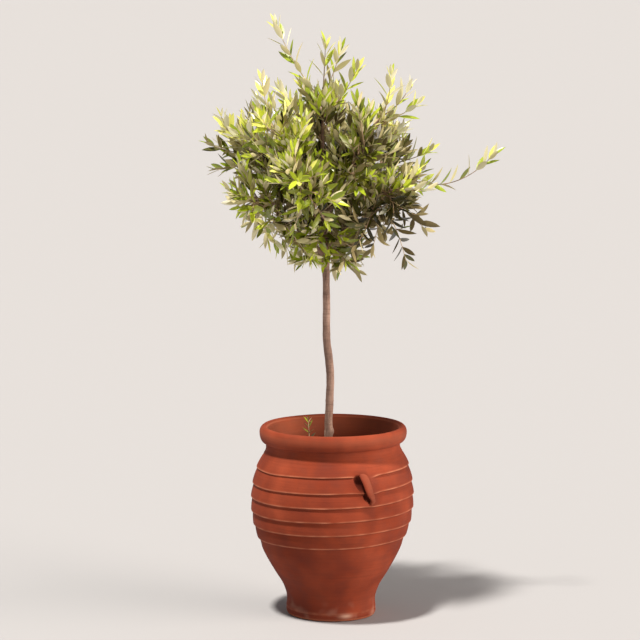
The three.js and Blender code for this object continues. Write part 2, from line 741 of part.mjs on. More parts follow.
const tree = new THREE.Group();
tree.add(makeMesh("pot", makePot(), TERRACOTTA));
tree.add(makeMesh("soil", makeSoil(), EARTH));
tree.add(makeMesh("trunk", makeTrunk(0), BARK));
tree.add(makeMesh("sucker", makeSucker(), FOLIAGE));

const boughs = planBoughs();
const cutter = makeTrunk(FACET_GAP);
for (const bough of boughs) {
  tree.add(makeMesh(`bough_${bough.name}`, makeBough(bough, cutter), BARK));
}

const masses = [
  {
    name: "top",
    ...endOf(trunkPoints()),
    site: crownShare(0, 90, SITE_DEPTH),
    end: crownShare(0, 90, STEM_END),
  },
  ...boughs.map(({ name, points, site, end }) => ({ name, ...endOf(points), site, end })),
];
const sites = masses.map((mass) => mass.site);

const trunkLine = { points: trunkPoints(), radii: TRUNK.map(({ radius }) => radius) };
const limbs = [trunkLine, ...boughs].flatMap(piecesOf);
const allTips = planTips().map((tip, number) => ({ tip, number, home: nearest(tip, sites) }));
masses.forEach((mass, home) => {
  const tips = allTips.filter((entry) => entry.home === home);
  tree.add(makeMesh(`foliage_${mass.name}`, growMass(mass, home, sites, tips, limbs), FOLIAGE));
});

export default tree;
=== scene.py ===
"""Looks of the potted olive: bark, twigs, life-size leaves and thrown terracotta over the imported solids."""

from math import asin, atan, copysign, cos, degrees, exp, pi, radians, sin, sqrt

import bpy
import numpy as np
from mathutils import Matrix, Vector, noise


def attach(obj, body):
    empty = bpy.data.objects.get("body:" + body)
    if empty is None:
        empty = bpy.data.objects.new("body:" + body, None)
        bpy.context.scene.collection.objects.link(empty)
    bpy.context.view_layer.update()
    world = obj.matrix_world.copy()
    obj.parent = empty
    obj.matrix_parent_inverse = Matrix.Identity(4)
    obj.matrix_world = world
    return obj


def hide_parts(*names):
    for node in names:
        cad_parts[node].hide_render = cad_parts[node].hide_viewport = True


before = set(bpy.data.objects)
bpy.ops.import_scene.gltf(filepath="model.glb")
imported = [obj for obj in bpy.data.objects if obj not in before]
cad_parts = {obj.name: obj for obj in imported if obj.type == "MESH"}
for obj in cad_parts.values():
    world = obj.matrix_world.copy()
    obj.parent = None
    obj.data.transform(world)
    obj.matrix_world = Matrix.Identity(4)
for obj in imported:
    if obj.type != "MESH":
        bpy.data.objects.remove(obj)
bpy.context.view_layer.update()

MM = 0.001


class Group:
    """Named values that belong together."""

    def __init__(self, **values):
        for name, value in values.items():
            setattr(self, name, value)


UP = np.array([0, 0, 1.0])
FULL_TURN = 2 * pi
GOLDEN_TURN = pi * (3 - sqrt(5))

# Sizes that the solids have too, in millimetres
GAP = 0.3
FOOT_RADIUS = 116
FOOT_LINE = 17
WALL = 15
BODY = [
    (0, 122.5), (14, 123.5), (44, 121.5), (78, 131), (123, 157.5), (166, 181.5), (206, 199.5), (241, 213),
    (281, 221.5), (320, 224.5), (361, 221.5), (406, 212), (436, 199), (460, 184.5), (480, 184.5),
]
RIB_LIPS = [219, 257, 295, 333, 371, 414]
SHOULDER = 443
# The ribs and the rim run up towards one side, by this rise for each millimetre sideways
SLANT = Group(rise=0.0325, start=60, whole=200, fading=450, rim=500, rim_share=0.4)
ROLL = Group(radius=190, reach=12, centre=506, rise=17, fall=26)
LUG = Group(top=430, bottom=332, bulge=23, thickness=12)
LUG_ANGLES = (-pi / 2, pi / 2)
SOIL = Group(edge=430, top=440)
FRONT_TURN = radians(24)
TRUNK = [
    (-12, 0, 440.3, 17.5), (-12, 0, 456, 13.4), (-12, 1, 500, 12.4), (-11, 2, 505, 13.3),
    (-12, 2, 512, 12.2), (-11, 2, 580, 10.8), (-10, 3, 665, 10.6), (-14, 4, 705, 11),
    (-20, 5, 750, 10.5), (-22, 4, 850, 10), (-25, 2, 950, 10), (-27, 0, 985, 11.5),
    (-30, 0, 1040, 9), (-34, 0, 1110, 6.6), (-37, 0, 1200, 5.6), (-38, 0, 1300, 4.6),
]
CROWN = Group(side=-38, height=1240, radius=300, half_height=278)
SITE_DEPTH = 0.62
STEM_END = 0.74
BOUGHS = Group(count=10, bearing=200, foot=992, rise=16, share=0.58, bend=0.1, steps=4)
BOUGH_RADIUS = (6.5, 4.6)
LEADER_RADIUS = (5.2, 4.6)
MASS_LIFT = (-0.42, 0.66)
OUTER_SHOOTS = Group(count=72, least=0.88, most=1.03, seed=100)
INNER_SHOOTS = Group(count=10, least=0.5, most=0.7, seed=400)
# Tips that the photo shows or that fill gaps between the others, as bearing, reach and height
CHOSEN_TIPS = [
    (168, 143, 1634), (200, 176, 1487), (188, 284, 1390), (185, 330, 1300), (170, 318, 1205),
    (204, 262, 1092), (212, 118, 975), (302, 72, 940), (346, 243, 957), (12, 300, 1046),
    (7, 488, 1286), (350, 316, 1180), (4, 312, 1288), (352, 276, 1424), (8, 246, 1472),
    (326, 122, 1520), (30, 62, 1572), (285, 22, 1592), (62, 300, 1372), (96, 345, 1240),
    (122, 255, 1452), (140, 290, 1040), (238, 300, 1385), (262, 338, 1215), (290, 245, 1450),
    (345, 190, 1512), (283, 262, 1148), (304, 285, 1212), (322, 240, 1096), (268, 88, 962),
    (205, 70, 965), (135, 92, 968), (256, 215, 1368), (246, 262, 1290),
]
STEM = Group(straight=8, bend=0.5, steps=12)
SHOOT = Group(leave=0.42, sag=0.2, feet=(12, 3), steps=20)
LIMB_MARGIN = 1.6

# The finer pot: how it steps in under each lip, and how the ribs fade out below and above
RIB = Group(step=4.5, last_step=2.0, tuck=3, rounding=3.6, power=1.3, fade_below=16, fade_above=5)
FOOT_GROOVE = Group(depth=1.6, width=1.8)
# The turn round the roll at which its inner edge is worn
INNER_EDGE = 2.4
# How worn the lips, foot, roll, inner edge and strap are; the inside share is painted light, a paler inside
# wall
WEAR_AND_PAINTED_LIGHT = Group(rib=0.85, foot=0.3, roll=0.1, inner_edge=0.3, inside=0.22, strap=0.12)
# Points round the pot lie closer together within this angle of a lug
FINE_ANGLE = radians(14)
FINE_STEPS, COARSE_STEPS = 70, 100
# The strap's edges sideways, at shares of its height: the left one bends over the hollow
STRAP_EDGES = Group(
    share=[0, 0.12, 0.24, 0.36, 0.5, 0.75, 1], left=[3, 10, 10, -1, -6, -12, -17], right=(36, 26),
)
# The strap falls back to the wall towards its right edge, and its ends sink in
STRAP = Group(steps=36, sides=28, overrun=0.04, lift=2, sink=3, lean=0.9, fall=19)
# The wall's radius at the lugs, and how far sideways their relief goes
LUG_WALL, LUG_REACH = 218, 120
# The hollow under each lug: two lobes, as side, height, half width, half height, depth and slant
FINGER_LOBES = [(-9, 393, 20, 26, 12.5, 0.5), (5, 357, 11, 14, 10, 0.3)]
# Swells of the wall at the strap's ends: side, height, half width, half height and how far out
LUG_SWELLS = [(-8, 431, 24, 13, 5), (12, 333, 18, 11, 4)]
# The bank of clay under the strap's right side, steep to its left
BANK = Group(side=16, height=384, slant=0.1, left=10, right=26, half_height=42, out=11)
# No ribs inside this patch round a lug
CLEARED = Group(height=398, half_width=38, half_height=36)
# Unevenness of the clay: scale round the pot, scale upwards, size, and the noise's shifts
CLAY = {
    "sway": (1.3, 0.006, 1.4, 0, 0),
    "wander": (2.1, 0.012, 1.6, 7, 0),
    "chip": (9, 0.05, 0.7, 0, 0),
    "crust": (5, 0.05, 1.0, 0, 4),
}
# Painted shade that darkens the clay towards the foot, gone at this height
LOW_SHADE = Group(depth=0.32, top=190)
# A pale smudge of lime on the foot, and a thin crust of it round the lower part
SMUDGE = Group(angle=radians(-94), height=15, half_width=17, half_height=6, depth=0.7)
CRUST = Group(least=0.1, depth=0.5, top=60)
FOOT_WALL = 122

CRUMBS = Group(count=420, size=(1.6, 5.5), lift=1.6, reach=0.97, seed=77)

# Finer growth than the solids have, with radii at foot and end
STEM_RADIUS = (4.6, 2.0)
SHOOT_RADIUS = (1.9, 0.7)
TWIG_RADIUS = (1.1, 0.55)
# How shoots turn up to higher tips, and how they reach the furthest ones
TURN_UP = Group(share=0.7, bend=np.array([0.72, 0.72, 0.3]))
FAR = Group(out=1.3, level=100, bend=0.55, sag=0.5)
# Where the crown is open, shoots branch less far out and end short by this share
OPEN = Group(top=0.5, upper_right=0.5, lower_left=0.8)
SHORTENED = 0.5
OUTSTANDING = 1.05
# Distances between pairs of leaves, from a twig's end on, and of the first pair from that end
NODE_GAPS = [16, 21, 24, 26, 27]
FIRST_NODE = 4.0
# Leaves: sizes, angles in degrees, how they rise to the light, and how their tones differ
LEAF = Group(
    length=59, width=0.275, tip_share=0.68, growth=0.14, size=(0.84, 1.12), missing=0.1,
    turn=(-0.35, 0.35), angle=(14, 26), opening=9, lean=(-0.55, 0.55), arch=(-0.05, 0.16),
    rise=0.3, face_rise=0.45, fresh=0.16, uneven=(-0.2, 0.2), clearance=3, seed=9000,
)
# A leaf's outline: shares of its length, and half widths as shares of its width
LEAF_OUTLINE = [(0, 0.05), (0.07, 0.09), (0.2, 0.34), (0.38, 0.5), (0.6, 0.48), (0.8, 0.32), (1, 0)]
LEAF_FOLD = radians(12)
LEAF_THICKNESS = 0.5
# A shoot's wood ends inside its last leaves, and is bare at its foot
WOOD = Group(tip_room=0.7, bare=0.16, twigless=0.1, first_twig=3)
# Side twigs, which are drawn back until they end inside the crown
TWIG = Group(
    share=0.76, length=(40, 105), near_tip=0.45, whole=160, angle=(30, 54), rise=0.8,
    out=1.0, open=1.25, beyond=25, shrink=0.85, shortest=30, bend=(0.62, 0.62, 0.36),
    steps=8, untested=2, bare=8, leaf_share=0.94, seed=5000,
)
TWIG_HALF_WIDTH = 2
# Shoots straight from the boughs and stems, which fill the crown's inside
FILL = Group(
    gap=13, uneven=(0.8, 1.2), start=45, length=(75, 150), ahead=(0.2, 0.9), rise=0.9,
    out=0.95, open=1.2, beyond=0, shrink=0.9, shortest=40, bend=(0.62, 0.62, 0.34),
    steps=14, untested=4, seed=7000,
)
# Drooping twigs round the top of the bare trunk
SKIRT = Group(
    count=26, low=975, high=1060, length=(65, 115), out=0.6, rise=0.2, drop=0.75,
    uneven=(0.3, 1), seed=8000,
)
# Painted light and shade: sprays are lighter and yellower where they stand high, far out and to the left,
# towards the key light, and darker deep inside the crown
TONE = Group(least=0.14, out=0.5, out_from=0.35, high=0.14, left=0.1, uneven=(-0.32, 0.36))
SUCKER = Group(
    foot=(-63, -6, 438), top=(-69, -6, 536), bend=(2.5, 1.0, 0), steps=16, sides=8,
    radius=(2.2, 0.9), nodes=[0, 8, 21, 36, 53, 68], leaf=(18, 31), size=(0.8, 1.1),
    width=0.2, arch=0.12, tone=(0.2, 0.6), angle=22, opening=9, turn=1.2, seed=321,
)

# Bark, with the swellings on it where leaves once grew
TRUNK_BARK = Group(spacing=3.2, sides=40, depth=0.75, ring_gap=42, ring_share=0.045)
BOUGH_BARK = Group(spacing=3.5, sides=18, depth=0.5, ring_gap=26, ring_share=0.08)
RING_WIDTH = 3.2
COLLAR = Group(share=0.55, at=9, width=9)
TWIG_COLLAR = Group(share=0.5, width=4)
TWIG_SIDES = 6

# The camera, in metres and degrees
CAMERA = Group(
    focal_pixels=2775, frame_pixels=640, axis_pixels=14.6, sensor=36,
    distance=7.5, height=1.8, tilt=7.5, roll=0.65,
)


def dice(seed):
    """A repeatable stream of numbers from 0 to 1."""
    state = ((seed + 1) * 2654435761) & 0xFFFFFFFF

    def roll():
        nonlocal state
        state = (state * 1664525 + 1013904223) & 0xFFFFFFFF
        return state / 2**32

    return roll


def mix(low, high, share):
    return low + (high - low) * share


def unit(v):
    return v / max(np.linalg.norm(v), 1e-9)


def hump(value, middle, width):
    """A smooth hump, 1 high at its middle."""
    return np.exp(-(((value - middle) / width) ** 2))


def smooth_share(value, start, end):
    share = max(0.0, min(1.0, (value - start) / (end - start)))
    return share * share * (3 - 2 * share)


def place(side, back, height):
    """A place to the right of, behind and above the pot's foot, as seen from the photo's side."""
    c, s = cos(FRONT_TURN), sin(FRONT_TURN)
    return np.array([side * c + back * s, back * c - side * s, height], float)


def crown_place(bearing, reach, height):
    turn = radians(bearing)
    return place(CROWN.side + reach * cos(turn), reach * sin(turn), height)


def crown_share(bearing, elevation, share):
    lift = radians(elevation)
    reach = CROWN.radius * cos(lift) * share
    return crown_place(bearing, reach, CROWN.height + CROWN.half_height * sin(lift) * share)


CROWN_CENTRE = crown_share(0, 0, 0)


def share_out(point):
    """How far out a point lies in the crown, 0 at its centre and 1 on its ball."""
    scale = np.array([CROWN.radius, CROWN.radius, CROWN.half_height])
    return np.linalg.norm((point - CROWN_CENTRE) / scale)


def crown_offset(point):
    """How high and how far right a point lies in the crown, each -1 to 1 on its ball."""
    offset = point - CROWN_CENTRE
    return offset[2] / CROWN.half_height, np.dot(offset, place(1, 0, 0)) / CROWN.radius


def openness(point):
    """How open the crown is at a point, from 0 where it is leafy."""
    high, right = crown_offset(point)
    above = max(high, 0) * (OPEN.top + OPEN.upper_right * max(right, 0))
    return above + OPEN.lower_left * max(-high, 0) * max(-right, 0)


def bezier(a, b, c, steps):
    t = np.linspace(0, 1, steps + 1)[:, None]
    return (1 - t) ** 2 * a + 2 * t * (1 - t) * b + t**2 * c


def smooth_through(knots, values, slopes, where):
    """Rows of values on a smooth curve through knots, with a slope given at each."""
    index = np.clip(np.searchsorted(knots, where) - 1, 0, len(knots) - 2)
    span = (knots[index + 1] - knots[index])[:, None]
    t = np.clip((where - knots[index])[:, None] / span, 0, 1)
    return (
        (2 * t**3 - 3 * t**2 + 1) * values[index]
        + (t**3 - 2 * t**2 + t) * span * slopes[index]
        + (3 * t**2 - 2 * t**3) * values[index + 1]
        + (t**3 - t**2) * span * slopes[index + 1]
    )


def lengths(points):
    """Distance along a row of points at each of them."""
    return np.concatenate([[0], np.cumsum(np.linalg.norm(np.diff(points, axis=0), axis=1))])


def walk(points, distance):
    """The place and direction at a distance along a row of points."""
    run = lengths(points)
    distance = min(max(distance, 0), run[-1])
    index = min(max(int(np.searchsorted(run, distance)), 1), len(points) - 1)
    step = points[index] - points[index - 1]
    share = (distance - run[index - 1]) / max(run[index] - run[index - 1], 1e-9)
    return points[index - 1] + step * share, unit(step)


def across(direction, wanted):
    """Two directions square to a given one, the first as near as can be to a wanted one."""
    first = unit(wanted - direction * np.dot(wanted, direction))
    return first, np.cross(direction, first)


def upright(direction):
    return UP if abs(direction[2]) < 0.9 else np.array([1.0, 0, 0])


def square_to(ahead, turn):
    """The direction square to a given one, at a turn round it."""
    first, second = across(ahead, upright(ahead))
    return first * cos(turn) + second * sin(turn)


def leaning(ahead, turn, angle, rise):
    """A direction at an angle in degrees off another, at a turn round it, drawn up to the light."""
    lean = radians(angle)
    return unit(ahead * cos(lean) + square_to(ahead, turn) * sin(lean) + rise * UP)


# Growth plan, by the rule of the solids

TRUNK_POINTS = np.array([place(*row[:3]) for row in TRUNK])
TRUNK_RADII = np.array(TRUNK, float)[:, 3]


def trunk_place(height):
    return np.array([np.interp(height, TRUNK_POINTS[:, 2], row) for row in TRUNK_POINTS.T])


def plan_boughs():
    boughs = []
    for index in range(BOUGHS.count):
        bearing = BOUGHS.bearing + degrees(index * GOLDEN_TURN)
        elevation = degrees(asin(mix(*MASS_LIFT, index / (BOUGHS.count - 1))))
        site = crown_share(bearing, elevation, SITE_DEPTH)
        start = trunk_place(BOUGHS.foot + index * BOUGHS.rise)
        tip = mix(start, site, BOUGHS.share)
        bend = (start + tip) / 2
        bend[2] -= BOUGHS.bend * np.linalg.norm(tip - start)
        boughs.append(Group(
            limb=bezier(start, bend, tip, BOUGHS.steps), radius=BOUGH_RADIUS, collar=COLLAR.share,
            site=site, end=crown_share(bearing, elevation, STEM_END),
        ))
    return boughs


def plan_tips():
    tips = []
    for ring in (OUTER_SHOOTS, INNER_SHOOTS):
        for index in range(ring.count):
            share = mix(ring.least, ring.most, dice(ring.seed + index)())
            lift = asin(1 - (2 * (index + 0.5)) / ring.count)
            tips.append(crown_share(degrees(index * GOLDEN_TURN), degrees(lift), share))
    tips += [crown_place(*tip) for tip in CHOSEN_TIPS]
    return tips


def plan_stem(foot, heading, end):
    start = foot + heading * GAP
    straight_end = start + heading * STEM.straight
    bend = start + heading * STEM.bend * np.linalg.norm(end - start)
    return np.vstack([start, bezier(straight_end, bend, end, STEM.steps)])


def best_leave(stem, tip):
    """How far along its stem a shoot best leaves for a tip, at half a right angle to the stem."""
    chord = unit(stem[-1] - stem[0])
    offset = tip - stem[0]
    ahead = np.dot(offset, chord)
    return ahead - sqrt(max(np.dot(offset, offset) - ahead * ahead, 0))


# Straight pieces of trunk and boughs: start, end and radius, put in before anything grows
LIMBS = []


def clear_of_limbs(points, half_width):
    """Whether a row of points stays clear of the trunk and all boughs."""
    points = np.asarray(points)
    for start, end, radius in LIMBS:
        line = end - start
        share = np.clip((points - start) @ line / np.dot(line, line), 0, 1)
        nearest = start + share[:, None] * line
        if np.any(np.linalg.norm(points - nearest, axis=1) < radius + half_width + LIMB_MARGIN):
            return False
    return True


def plan_shoot(stem, back_from_end, tip):
    """A curve from the stem to a tip, straighter if a limb is in its way, or None if none is clear."""
    start, ahead = walk(stem, lengths(stem)[-1] - back_from_end)
    reach = np.linalg.norm(tip - start)
    bent = start + ahead * SHOOT.leave * reach
    bent[2] -= SHOOT.sag * reach
    if tip[2] > start[2]:
        bent = mix(bent, mix(start, tip, TURN_UP.bend), TURN_UP.share)
    if share_out(tip) > FAR.out and abs(tip[2] - CROWN.height) < FAR.level:
        bent = mix(start, tip, FAR.bend) - FAR.sag * reach * UP
    for ease in (0, 0.5, 1):
        curve = bezier(start, mix(bent, (start + tip) / 2, ease), tip, SHOOT.steps)
        if clear_of_limbs(curve[1:], 1.5):
            return curve
    return None


def nearest_mass(masses, point):
    sites = np.array([mass.site for mass in masses])
    return int(np.argmin(np.linalg.norm(sites - point, axis=1)))


def shoot_curves(masses, tips):
    """Every shoot's curve from its foot on a stem to its tip, with the number of its mass."""
    homes = [nearest_mass(masses, tip) for tip in tips]
    curves = []
    for home, mass in enumerate(masses):
        own = [tip for tip, tip_home in zip(tips, homes) if tip_home == home]
        own.sort(key=lambda tip: -best_leave(mass.stem, tip))
        last = lengths(mass.stem)[-1] - sum(SHOOT.feet)
        for rank, tip in enumerate(own):
            back = SHOOT.feet[1] + last * rank / max(len(own) - 1, 1)
            curve = plan_shoot(mass.stem, back, tip)
            if curve is not None:
                curves.append((home, curve))
    return curves


def side_growth(root, direction, reach, rule):
    """The curve of a twig drawn back until it ends inside the crown, or None if a limb is in its way."""
    end = root + direction * reach
    while reach > rule.shortest:
        limit = min(rule.out, rule.open - openness(end))
        if share_out(end + direction * rule.beyond) <= limit:
            break
        reach *= rule.shrink
        end = root + direction * reach
    curve = bezier(root, mix(root, end, np.array(rule.bend)), end, rule.steps)
    return curve if clear_of_limbs(curve[rule.untested:], TWIG_HALF_WIDTH) else None


def fill_curves(masses):
    """Shoots all along the boughs and stems, each a golden turn round from the last."""
    curves = []
    for number, mass in enumerate(masses):
        roll = dice(FILL.seed + number)
        run = lengths(mass.row)[-1]
        at, turn = FILL.start, roll() * FULL_TURN
        while at < run:
            root, ahead = walk(mass.row, at)
            forward = ahead * mix(*FILL.ahead, roll())
            direction = unit(square_to(ahead, turn) + forward + FILL.rise * UP)
            curve = side_growth(root, direction, mix(*FILL.length, roll()), FILL)
            if curve is not None:
                curves.append((number, curve))
            at += FILL.gap * mix(*FILL.uneven, roll())
            turn += GOLDEN_TURN
    return curves


def skirt_curves(masses):
    """Short shoots that droop from the top of the bare trunk, each with its nearest mass."""
    curves = []
    roll = dice(SKIRT.seed)
    for number in range(SKIRT.count):
        root = trunk_place(mix(SKIRT.low, SKIRT.high, number / SKIRT.count))
        turn = number * GOLDEN_TURN
        out = np.array([cos(turn), sin(turn), 0])
        reach = mix(*SKIRT.length, roll())
        bend = root + out * reach * SKIRT.out + SKIRT.rise * reach * UP
        end = root + out * reach - SKIRT.drop * reach * mix(*SKIRT.uneven, roll()) * UP
        curve = bezier(root, bend, end, FILL.steps)
        if clear_of_limbs(curve[FILL.untested:], TWIG_HALF_WIDTH):
            curves.append((nearest_mass(masses, end), curve))
    return curves


# Leaves and twigs finer than the solids'

def node_places(length, bare):
    """Distances back from a twig's end at which its pairs of leaves sit."""
    places, back = [], FIRST_NODE
    while not places or back <= length - bare:
        places.append(back)
        back += NODE_GAPS[min(len(places), len(NODE_GAPS)) - 1]
    return places


def leaves_of(curve, seed, bare, tone, full=1.0):
    """Pairs of leaves, each a quarter turn round from the last, as make_leaves takes them."""
    roll = dice(LEAF.seed + seed)
    length = lengths(curve)[-1]
    quarter = roll() * pi
    leaves = []
    for pair, back in enumerate(node_places(length, bare)):
        root, ahead = walk(curve, length - back)
        grown = min(1.0, LEAF.tip_share + LEAF.growth * pair)
        for half in (0, pi):
            turn = quarter + pair * pi / 2 + half + mix(*LEAF.turn, roll())
            angle = mix(*LEAF.angle, roll()) + LEAF.opening * min(pair, 3)
            size = LEAF.length * grown * full * mix(*LEAF.size, roll())
            lean = mix(*LEAF.lean, roll())
            arch = mix(*LEAF.arch, roll())
            if pair > 2 and roll() < LEAF.missing:
                continue
            direction = leaning(ahead, turn, angle, LEAF.rise)
            face, edge = across(direction, ahead + LEAF.face_rise * UP)
            face = face * cos(lean) + edge * sin(lean)
            tested = [root + direction * size * share for share in (0.4, 0.7, 1)]
            if not clear_of_limbs(tested, LEAF.clearance):
                continue
            shade = tone + (LEAF.fresh if pair < 2 else 0) + mix(*LEAF.uneven, roll())
            leaves.append((root, direction, face, size, size * LEAF.width, arch, shade))
    return leaves


def spray_tone(point, roll):
    """A spray's leaf tone, from 0 for the darkest to 1 for the lightest, with painted light high, far out and
    to the left and painted shade deep inside the crown.
    """
    high, right = crown_offset(point)
    further = max(min(share_out(point), 1.1) - TONE.out_from, 0)
    # Painted light high, far out and to the left, and painted shade deep inside the crown
    painted_light_and_shade = TONE.least + TONE.out * further + TONE.high * high - TONE.left * right
    return painted_light_and_shade + mix(*TONE.uneven, roll())


def grow(curves, mass_count):
    """The wood and the leaves of all shoots, each as a list for each mass."""
    all_twigs = [[] for _ in range(mass_count)]
    all_leaves = [[] for _ in range(mass_count)]
    for number, (home, curve) in enumerate(curves):
        twigs, leaves = all_twigs[home], all_leaves[home]
        roll = dice(TWIG.seed + number)
        seed = number * 17
        length = lengths(curve)[-1]
        if share_out(curve[-1]) < OUTSTANDING:
            length *= 1 - SHORTENED * openness(curve[-1])
        wood_end = length - WOOD.tip_room * LEAF.length * LEAF.tip_share
        wood = np.array([walk(curve, wood_end * step / 18)[0] for step in range(19)])
        tone = spray_tone(curve[-1], roll)
        twigs.append((wood, SHOOT_RADIUS))
        leaves += leaves_of(wood, seed, WOOD.bare * wood_end, tone)
        places = node_places(wood_end, WOOD.twigless * wood_end)
        for pair, back in enumerate(places[WOOD.first_twig:]):
            if roll() > TWIG.share:
                continue
            root, ahead = walk(wood, wood_end - back)
            if share_out(root) > 1 - openness(root):
                continue
            turn = roll() * FULL_TURN
            direction = leaning(ahead, turn, mix(*TWIG.angle, roll()), TWIG.rise)
            reach = mix(*TWIG.length, roll()) * min(1, TWIG.near_tip + back / TWIG.whole)
            twig = side_growth(root, direction, reach, TWIG)
            if twig is None:
                continue
            twigs.append((twig, TWIG_RADIUS))
            twig_tone = mix(tone, spray_tone(twig[-1], roll), 0.5)
            leaves += leaves_of(twig, seed + pair + 1, TWIG.bare, twig_tone, TWIG.leaf_share)
    return all_twigs, all_leaves


# Mesh making

def add_object(name, data):
    obj = bpy.data.objects.new(name, data)
    bpy.context.collection.objects.link(obj)
    return obj


def make_object(name, points, faces, materials, slots=None, smooth=True):
    """A mesh object from points in millimetres."""
    mesh = bpy.data.meshes.new(name)
    mesh.from_pydata((np.asarray(points) * MM).tolist(), [], faces)
    for material in materials:
        mesh.materials.append(material)
    if slots:
        mesh.polygons.foreach_set("material_index", np.asarray(slots, np.int32))
    mesh.polygons.foreach_set("use_smooth", np.full(len(mesh.polygons), smooth))
    mesh.update()
    return add_object(name, mesh)


def ring_quads(rings, sides):
    """Quads between closed rings of points that follow one another."""
    faces = []
    for ring in range(rings - 1):
        for side in range(sides):
            low, next_low = ring * sides + side, ring * sides + (side + 1) % sides
            faces.append((low, next_low, next_low + sides, low + sides))
    return faces


def tube(points, radii, sides):
    """Points and faces of a tube along a row of points, closed by one face at each end."""
    tangents = np.gradient(points, axis=0)
    tangents /= np.linalg.norm(tangents, axis=1)[:, None]
    first, _ = across(tangents[0], upright(tangents[0]))
    turn = np.arange(sides) / sides * FULL_TURN
    rings = []
    for point, tangent, radius in zip(points, tangents, radii):
        first, second = across(tangent, first)
        rings.append(point + radius * (np.cos(turn)[:, None] * first + np.sin(turn)[:, None] * second))
    faces = ring_quads(len(points), sides)
    faces.append(tuple(range(sides - 1, -1, -1)))
    faces.append(tuple(range((len(points) - 1) * sides, len(points) * sides)))
    return np.vstack(rings), faces


def join_parts(parts):
    """One list of points and one of faces from several."""
    points, faces, start = [], [], 0
    for part_points, part_faces in parts:
        points.append(part_points)
        faces += [tuple(index + start for index in face) for face in part_faces]
        start += len(part_points)
    return np.vstack(points), faces


def make_leaves(name, leaves, materials):
    """Leaves as thin blades of an upper and an under sheet, with a pair of materials for each tone."""
    root, direction, face, length, width, arch, tone = (np.array(column) for column in zip(*leaves))
    edge = np.cross(direction, face)
    rows = []
    for station, half_width in LEAF_OUTLINE:
        drop = arch * length * station**2
        middle = root + direction * (length * station)[:, None] - face * drop[:, None]
        wide = (width * half_width)[:, None]
        lift = face * sin(LEAF_FOLD) * wide
        left = middle - edge * cos(LEAF_FOLD) * wide + lift
        right = middle + edge * cos(LEAF_FOLD) * wide + lift
        under = middle - face * LEAF_THICKNESS
        rows.append(np.stack([left, middle, right, left, under, right], axis=1))
    points = np.stack(rows, axis=1)
    row_size = points.shape[2]
    cells = []
    for row in range(len(rows) - 1):
        a, b = row * row_size, (row + 1) * row_size
        cells += [((a, a + 1, b + 1, b), 0), ((a + 1, a + 2, b + 2, b + 1), 0)]
        cells += [((a + 3, b + 3, b + 4, a + 4), 1), ((a + 4, b + 4, b + 5, a + 5), 1)]
    tone_count = len(materials) // 2
    pairs = np.clip((tone * tone_count).astype(int), 0, tone_count - 1)
    faces, slots = [], []
    for index, pair in enumerate(pairs):
        start = index * len(rows) * row_size
        for corners, side in cells:
            faces.append(tuple(start + corner for corner in corners))
            slots.append(pair * 2 + side)
    return make_object(name, points.reshape(-1, 3), faces, materials, slots)


# Pot

def body_radius(height):
    """Radius of the pot's smooth body, with no ribs."""
    knots = np.array(BODY, float)
    slopes = np.gradient(knots[:, 1], knots[:, 0])
    slopes[0] = slopes[-1] = 0
    return float(smooth_through(knots[:, 0], knots[:, 1:], slopes[:, None], np.array([height]))[0, 0])


def rib_offset(height):
    """How far the surface lies inside the smooth body: least just above a lip, most just below the next."""
    edges = RIB_LIPS + [SHOULDER]
    for lip, next_lip in zip(edges, edges[1:]):
        start, end = lip - RIB.tuck, next_lip - RIB.tuck
        if start <= height < end:
            rise = (height - start) / RIB.rounding
            if rise < 1:
                return -RIB.step * (1 - sin(rise * pi / 2))
            depth = RIB.step if next_lip != SHOULDER else RIB.last_step
            return -depth * ((height - lip) / (end - lip)) ** RIB.power
    first = RIB_LIPS[0] - RIB.tuck
    if height < first:
        return -RIB.step * hump(height, first, RIB.fade_below)
    return -RIB.last_step * hump(height, SHOULDER, RIB.fade_above)


def slant_rise(theta, radius, height):
    """How much the slanting ribs and rim rise at a point of the outside."""
    below = smooth_share(height, SLANT.start, SLANT.whole)
    fading = mix(1, SLANT.rim_share, smooth_share(height, SLANT.fading, SLANT.rim))
    return SLANT.rise * radius * cos(theta + FRONT_TURN) * below * fading


